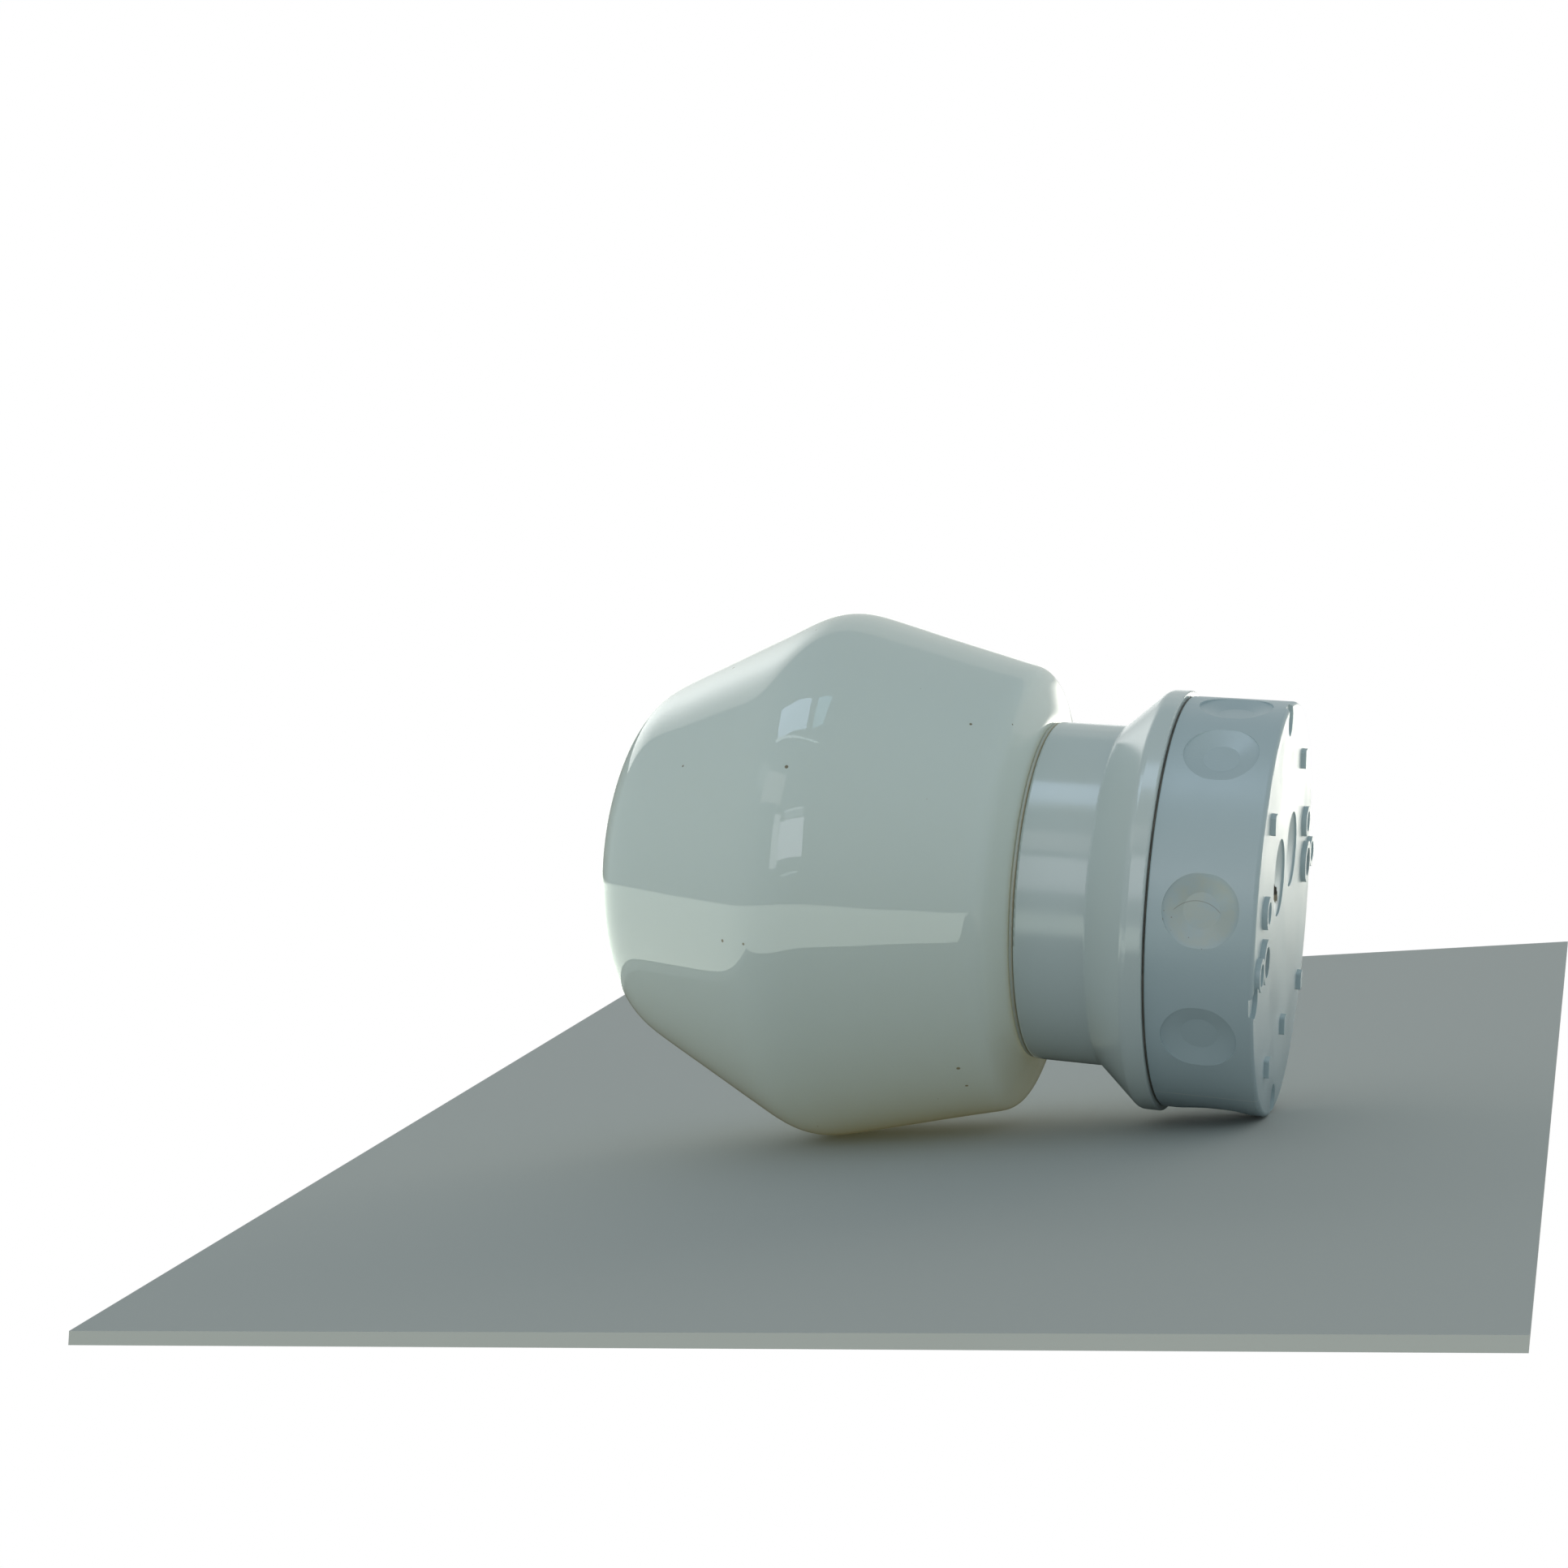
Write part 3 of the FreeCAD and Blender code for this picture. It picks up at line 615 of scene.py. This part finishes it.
def make_shade(material):
    """The pressed opal glass, one smooth wall with a screw thread on its neck."""
    outside, inside = glass_profile()
    bm = bmesh.new()
    first = previous = None
    for point in outside + inside:
        if point.y < ON_AXIS:
            if previous:
                cap(bm, previous, point)
            previous = None
            continue
        wavy = 0.0
        if point in outside:
            wavy = min(1.0, max(0.0, (point.x - WAVER_START) / WAVER_GROWTH))
        ring = lathe_ring(bm, point, wavy)
        if previous:
            bridge(bm, previous, ring)
        elif first:
            cap(bm, list(reversed(ring)), Vector((TIP_S - GLASS_WALL, 0.0)))
        first = first or ring
        previous = ring
    bridge(bm, previous, first)
    add_thread(bm)
    bmesh.ops.recalc_face_normals(bm, faces=bm.faces)
    mesh = bpy.data.meshes.new("shade_glass_wall")
    bm.to_mesh(mesh)
    bm.free()
    mesh.shade_smooth()
    shade = bpy.data.objects.new("shade_glass_wall", mesh)
    bpy.context.scene.collection.objects.link(shade)
    mesh.materials.append(material)
    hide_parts("shade")
    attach(shade, "shade_glass")


def make_spring(material):
    """The lampholder's contact spring, which shortens as the pin is pressed in."""
    spring = bpy.data.objects.new("contact_spring_coil", nodes["contact_spring"].data.copy())
    bpy.context.scene.collection.objects.link(spring)
    spring.data.materials.clear()
    spring.data.materials.append(material)
    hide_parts("contact_spring")
    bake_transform(spring)


def shader_of(material):
    return material.node_tree.nodes["Principled BSDF"]


def new_material(name):
    material = bpy.data.materials.new(name)
    material.use_nodes = True
    return material, Nodes(material.node_tree), shader_of(material)


def moulded_plastic(name, colour, stain, roughness, grain):
    """Plastic with faint clouds, a few specks and a fine grain, with its nodes, shader and colour."""
    material, n, shader = new_material(name)
    where = n.place()
    cloud = n.ramp(n.noise(where, 28.0, 4.0), 0.35, 0.7)
    base = n.mix(n.maths("MULTIPLY", cloud, 0.35), colour, stain)
    dots = n.specks(260.0, 0.30 * MM, 0.05)
    base = n.mix(n.maths("MULTIPLY", dots, 0.7), base, (0.10, 0.08, 0.06))
    n.feed(shader.inputs["Base Color"], base)
    worn = n.noise(where, 45.0, 3.0)
    rough = n.mix_value(n.ramp(worn, 0.3, 0.7), roughness - 0.04, roughness + 0.05)
    n.feed(shader.inputs["Roughness"], rough)
    fine = n.noise(where, 1400.0, 2.0)
    n.feed(shader.inputs["Normal"], n.bump(fine, grain))
    return material, n, shader, base


UPWARDS = (0.0, 0.0, 1.0)
STAIN_COLOUR = (0.70, 0.68, 0.54)
STAIN_EDGE = (11.2 * MM, 8.5 * MM)                     # the stain fades in this far from the dish's middle
RIM_DIRT = (7.8 * MM, 10.8 * MM, 0.6 * MM)             # from, to and softness, also from the middle
RIM_DIRT_COLOUR = (0.22, 0.13, 0.07)
CRACK_CENTRE = Vector((-1.2 * MM, 0.0, -5.6 * MM))     # from the middle of the stained dish
CRACK_RADIUS = 8.17 * MM
CRACK_HALF_WIDTH = 0.13 * MM
CRACK_ABOVE = (5.0 * MM, 5.8 * MM)                     # only this high part of the circle is cracked
CRACK_COLOUR = (0.20, 0.18, 0.14)
PIERCED = Vector((-3.1 * MM, -19.2 * MM, 7.5 * MM))    # the hole broken through one rear dish
HOLE_PATCH_END = Vector((-3.1 * MM, -11.6 * MM, 4.6 * MM))    # where the patch of painted hole shade beside the hole ends
HOLE_PATCH_HALF_WIDTH = (1.4 * MM, 2.4 * MM)                 # at the hole and at the patch's end
HOLE_PATCH_RAGGED = 0.5 * MM
HOLE_PATCH_SOFT = 0.2 * MM
# painted shade: near black, standing in for a pierced hole's dark opening where the box has no hole
HOLE_SHADE_PAINT = (0.03, 0.022, 0.014)
HOLE_PATCH_TAN = (0.26, 0.22, 0.15)                          # below the patch's end
HOLE_PATCH_ROUGHNESS = 0.95
SEAM_WAY = Vector((0.0, -0.479, -0.878))               # from the axis to the moulding seam on the box's side
SEAM_OUTSIDE = (57.6 * MM, 58.4 * MM)                  # fades in this far out, to stay off the rear face
SEAM_HALF_WIDTH = (0.28 * MM, 0.14 * MM)
SEAM_SHARE = 0.6
# painted highlight: the pale colour of the line along the moulding seam
SEAM_HIGHLIGHT_COLOUR = (0.86, 0.88, 0.84)


def stained_dish(n, where, colour):
    """One knock-out dish, yellowed in blotches, with a hairline crack and dirt round its rim."""
    side = Vector((0.0, math.cos(STAINED_DISH), math.sin(STAINED_DISH)))
    centre = BOX_RADIUS * side - Vector((PAD + DISH_S, 0.0, 0.0))
    gap = n.vector("DISTANCE", where, centre)
    inside = n.ramp(gap, *STAIN_EDGE)
    blotch = n.ramp(n.noise(where, 160.0, 3.0), 0.30, 0.62, 0.10, 0.45)
    colour = n.mix(n.maths("MULTIPLY", inside, blotch), colour, STAIN_COLOUR)
    flat = n.vector("MULTIPLY", n.vector("SUBTRACT", where, centre + CRACK_CENTRE), (1.0, 0.0, 1.0))
    off_arc = n.maths("ABSOLUTE", n.maths("SUBTRACT", n.vector("LENGTH", flat), CRACK_RADIUS))
    line = n.ramp(off_arc, CRACK_HALF_WIDTH, 0.4 * CRACK_HALF_WIDTH)
    upper = n.ramp(n.vector("DOT_PRODUCT", flat, UPWARDS), *CRACK_ABOVE)
    crack = all_of(n, line, upper, inside, 0.55)
    colour = n.mix(crack, colour, CRACK_COLOUR)
    dirt = all_of(n, between(n, gap, *RIM_DIRT), n.specks(420.0, 0.45 * MM, 0.22), 0.7)
    return n.mix(dirt, colour, RIM_DIRT_COLOUR)


def painted_hole_shade_patch(n, where):
    """1 on the ragged patch that runs from the pierced hole to its end, and the patch's colour: near-black
    painted shade for a dark hole opening, tan below the end.
    """
    patch_span = HOLE_PATCH_END - PIERCED
    from_hole = n.vector("SUBTRACT", where, PIERCED)
    along = n.maths("DIVIDE", n.vector("DOT_PRODUCT", from_hole, patch_span), patch_span.length_squared, clamp=True)
    nearest = n.vector("MULTIPLY", n.grey(along), patch_span)
    ragged = n.ramp(n.noise(where, 900.0, 2.0), 0.2, 0.8, -HOLE_PATCH_RAGGED, HOLE_PATCH_RAGGED)
    off_patch_span = n.maths("ADD", n.vector("DISTANCE", from_hole, nearest), ragged)
    half_width = n.ramp(along, 0.2, 0.9, *HOLE_PATCH_HALF_WIDTH)
    hole_shade_mask = n.ramp(n.maths("SUBTRACT", half_width, off_patch_span), -HOLE_PATCH_SOFT, HOLE_PATCH_SOFT)
    height = n.vector("DOT_PRODUCT", where, UPWARDS)
    below = n.ramp(height, HOLE_PATCH_END.z + HOLE_PATCH_SOFT, HOLE_PATCH_END.z - HOLE_PATCH_RAGGED)
    return hole_shade_mask, n.mix(below, HOLE_SHADE_PAINT, HOLE_PATCH_TAN)


def painted_seam_highlight(n, where):
    """How much a point lies on the fine pale line along the box's side: a painted highlight where the raised
    moulding seam catches light.
    """
    across = n.vector("MULTIPLY", where, (0.0, 1.0, 1.0))
    aside = n.vector("LENGTH", n.vector("CROSS_PRODUCT", across, SEAM_WAY))
    outward = n.ramp(n.vector("DOT_PRODUCT", where, SEAM_WAY), *SEAM_OUTSIDE)
    return all_of(n, n.ramp(aside, *SEAM_HALF_WIDTH), outward, SEAM_SHARE)


def rear_box_material():
    """Cool white moulded plastic with the stained dish, a patch of painted hole shade and a painted highlight
    along the moulding seam.
    """
    material, n, shader, base = moulded_plastic(
        "box_plastic", (0.58, 0.68, 0.71), (0.54, 0.64, 0.66), roughness=0.36, grain=0.03 * MM
    )
    where = n.place()
    colour = stained_dish(n, where, base)
    # the patch beside the pierced hole is painted shade, standing in for a dark hole opening
    hole_shade_mask, hole_shade_colour = painted_hole_shade_patch(n, where)
    colour = n.mix(hole_shade_mask, colour, hole_shade_colour)
    rough = shader.inputs["Roughness"].links[0].from_socket
    n.feed(shader.inputs["Roughness"], n.mix_value(hole_shade_mask, rough, HOLE_PATCH_ROUGHNESS))
    # painted highlight: a pale line along the moulding seam on the box's side
    colour = n.mix(painted_seam_highlight(n, where), colour, SEAM_HIGHLIGHT_COLOUR)
    n.feed(shader.inputs["Base Color"], colour)
    return material


def cover_material():
    """Warmer and glossier white plastic."""
    return moulded_plastic(
        "cover_plastic", (0.74, 0.81, 0.80), (0.72, 0.78, 0.74), roughness=0.15, grain=0.006 * MM
    )[0]


def opal_material():
    """Opal glass, which scatters blue light back, with a faint painted warm glow that stands in for light let
    through from its far side.
    """
    material, n, shader = new_material("opal_glass")
    where = n.place()
    cloud = n.ramp(n.noise(where, 14.0, 3.0), 0.3, 0.75)
    base = n.mix(n.maths("MULTIPLY", cloud, 0.25), (0.62, 0.74, 0.79), (0.62, 0.73, 0.76))
    dots = n.specks(110.0, 0.7 * MM, 0.5)
    base = n.mix(n.maths("MULTIPLY", dots, 0.9), base, (0.05, 0.04, 0.03))
    n.feed(shader.inputs["Base Color"], base)
    shader.inputs["Roughness"].default_value = 0.004
    shader.inputs["IOR"].default_value = 1.5
    shader.inputs["Subsurface Weight"].default_value = 0.6
    shader.inputs["Subsurface Radius"].default_value = (1.0, 1.0, 0.92)
    shader.inputs["Subsurface Scale"].default_value = 8.0 * MM
    # painted glow: this faint warm emission stands in for light let through the glass from its far side
    shader.inputs["Emission Color"].default_value = (1.0, 0.86, 0.40, 1.0)
    shader.inputs["Emission Strength"].default_value = 0.070
    return material


def rubber(name, colour, worn, roughness):
    """Matt rubber with worn spots."""
    material, n, shader = new_material(name)
    spots = n.ramp(n.noise(n.place(), 120.0, 4.0), 0.4, 0.65)
    n.feed(shader.inputs["Base Color"], n.mix(spots, colour, worn))
    shader.inputs["Roughness"].default_value = roughness
    n.feed(shader.inputs["Normal"], n.bump(n.noise(n.place(), 900.0, 2.0), 0.05 * MM))
    return material


YELLOWED_LINE = (68.95 * MM, 68.6 * MM)    # the line fades in between these depths, next to the collar


def gasket_material():
    """Pale ring with one yellowed line."""
    material = rubber("aged_gasket", (0.60, 0.63, 0.58), (0.64, 0.64, 0.56), 0.5)
    n = Nodes(material.node_tree)
    shader = shader_of(material)
    base = shader.inputs["Base Color"].links[0].from_socket
    depth = n.maths("SUBTRACT", n.vector("DOT_PRODUCT", n.place(), (-1.0, 0.0, 0.0)), PAD)
    uneven = n.ramp(n.noise(n.place(), 70.0, 3.0), 0.3, 0.7, 0.55, 1.0)
    line = n.maths("MULTIPLY", n.ramp(depth, *YELLOWED_LINE), uneven)
    n.feed(shader.inputs["Base Color"], n.mix(line, base, (0.54, 0.45, 0.29)))
    return material


def metal(name, colour, dull, roughness, streaks=(300.0, 300.0, 300.0)):
    """Metal with tarnished spots and fine marks, drawn out where streaks isn't the same three ways."""
    material, n, shader = new_material(name)
    marks = n.noise(n.scaled(*streaks), 1.0, 4.0)
    tarnish = n.ramp(n.noise(n.place(), 60.0, 3.0), 0.45, 0.75)
    n.feed(shader.inputs["Base Color"], n.mix(tarnish, colour, dull))
    shader.inputs["Metallic"].default_value = 1.0
    n.feed(shader.inputs["Roughness"], n.ramp(marks, 0.25, 0.75, roughness, roughness + 0.18))
    n.feed(shader.inputs["Normal"], n.bump(marks, 0.02 * MM))
    return material


def smooth_solid(name, colour, shade, roughness, coat=0.0):
    """A smooth, slightly clouded solid: porcelain, block plastic, lead sleeves and frosted glass."""
    material, n, shader = new_material(name)
    cloud = n.ramp(n.noise(n.place(), 40.0, 3.0), 0.35, 0.7)
    n.feed(shader.inputs["Base Color"], n.mix(cloud, colour, shade))
    shader.inputs["Roughness"].default_value = roughness
    shader.inputs["Coat Weight"].default_value = coat
    shader.inputs["Coat Roughness"].default_value = 0.05
    n.feed(shader.inputs["Normal"], n.bump(n.noise(n.place(), 400.0, 2.0), 0.02 * MM))
    return material


def glass(name, colour, transmission, roughness):
    material, n, shader = new_material(name)
    cloud = n.ramp(n.noise(n.place(), 50.0, 2.0), 0.3, 0.7)
    n.feed(shader.inputs["Base Color"], n.mix(cloud, colour, tuple(0.97 * c for c in colour)))
    shader.inputs["Transmission Weight"].default_value = transmission
    shader.inputs["Roughness"].default_value = roughness
    shader.inputs["IOR"].default_value = 1.5
    return material


def make_materials():
    return {
        "box_plastic": rear_box_material(),
        "cover_plastic": cover_material(),
        "dark_rubber": rubber("dark_rubber", (0.16, 0.145, 0.125), (0.24, 0.21, 0.18), 0.7),
        "aged_gasket": gasket_material(),
        "opal_glass": opal_material(),
        "zinc_screws": metal("zinc_screws", (0.66, 0.66, 0.62), (0.50, 0.48, 0.42), 0.30),
        "zinc_strap": metal("zinc_strap", (0.62, 0.63, 0.61), (0.48, 0.47, 0.42), 0.38, (80.0, 80.0, 1500.0)),
        "porcelain": smooth_solid("porcelain", (0.84, 0.83, 0.79), (0.80, 0.79, 0.74), 0.22, 0.6),
        "brass_shell": metal("brass_shell", (0.80, 0.62, 0.30), (0.55, 0.40, 0.18), 0.26),
        "brass_contacts": metal("brass_contacts", (0.78, 0.60, 0.28), (0.52, 0.38, 0.16), 0.30),
        "spring_steel": metal("spring_steel", (0.55, 0.55, 0.55), (0.40, 0.39, 0.37), 0.30),
        "block_plastic": smooth_solid("block_plastic", (0.78, 0.77, 0.72), (0.72, 0.70, 0.63), 0.45),
        "lead_brown": smooth_solid("lead_brown", (0.16, 0.075, 0.035), (0.13, 0.06, 0.03), 0.35),
        "lead_blue": smooth_solid("lead_blue", (0.05, 0.14, 0.42), (0.04, 0.11, 0.36), 0.35),
        "bulb_glass": smooth_solid("bulb_glass", (0.86, 0.86, 0.83), (0.83, 0.83, 0.80), 0.35),
        "bulb_cap_metal": metal("bulb_cap_metal", (0.80, 0.80, 0.79), (0.62, 0.61, 0.58), 0.24),
        "black_glass": smooth_solid("black_glass", (0.015, 0.015, 0.018), (0.03, 0.03, 0.03), 0.12),
        "solder": metal("solder", (0.62, 0.62, 0.62), (0.42, 0.42, 0.41), 0.4),
        "clear_glass": glass("clear_glass", (0.92, 0.95, 0.95), 1.0, 0.03),
        "tungsten": metal("tungsten", (0.30, 0.30, 0.32), (0.20, 0.20, 0.21), 0.4),
    }


def dress_nodes(materials):
    slots = {row["node"]: row["material_slot"] for row in frame["record"]["subparts"]}
    for name, obj in nodes.items():
        obj.data.materials.clear()
        obj.data.materials.append(materials[slots[name]])


bpy.context.scene.view_settings.view_transform = "Standard"
make_camera()
make_world()
make_floor()
make_windows()
materials = make_materials()
dress_nodes(materials)
make_shade(materials["opal_glass"])
make_spring(materials["spring_steel"])
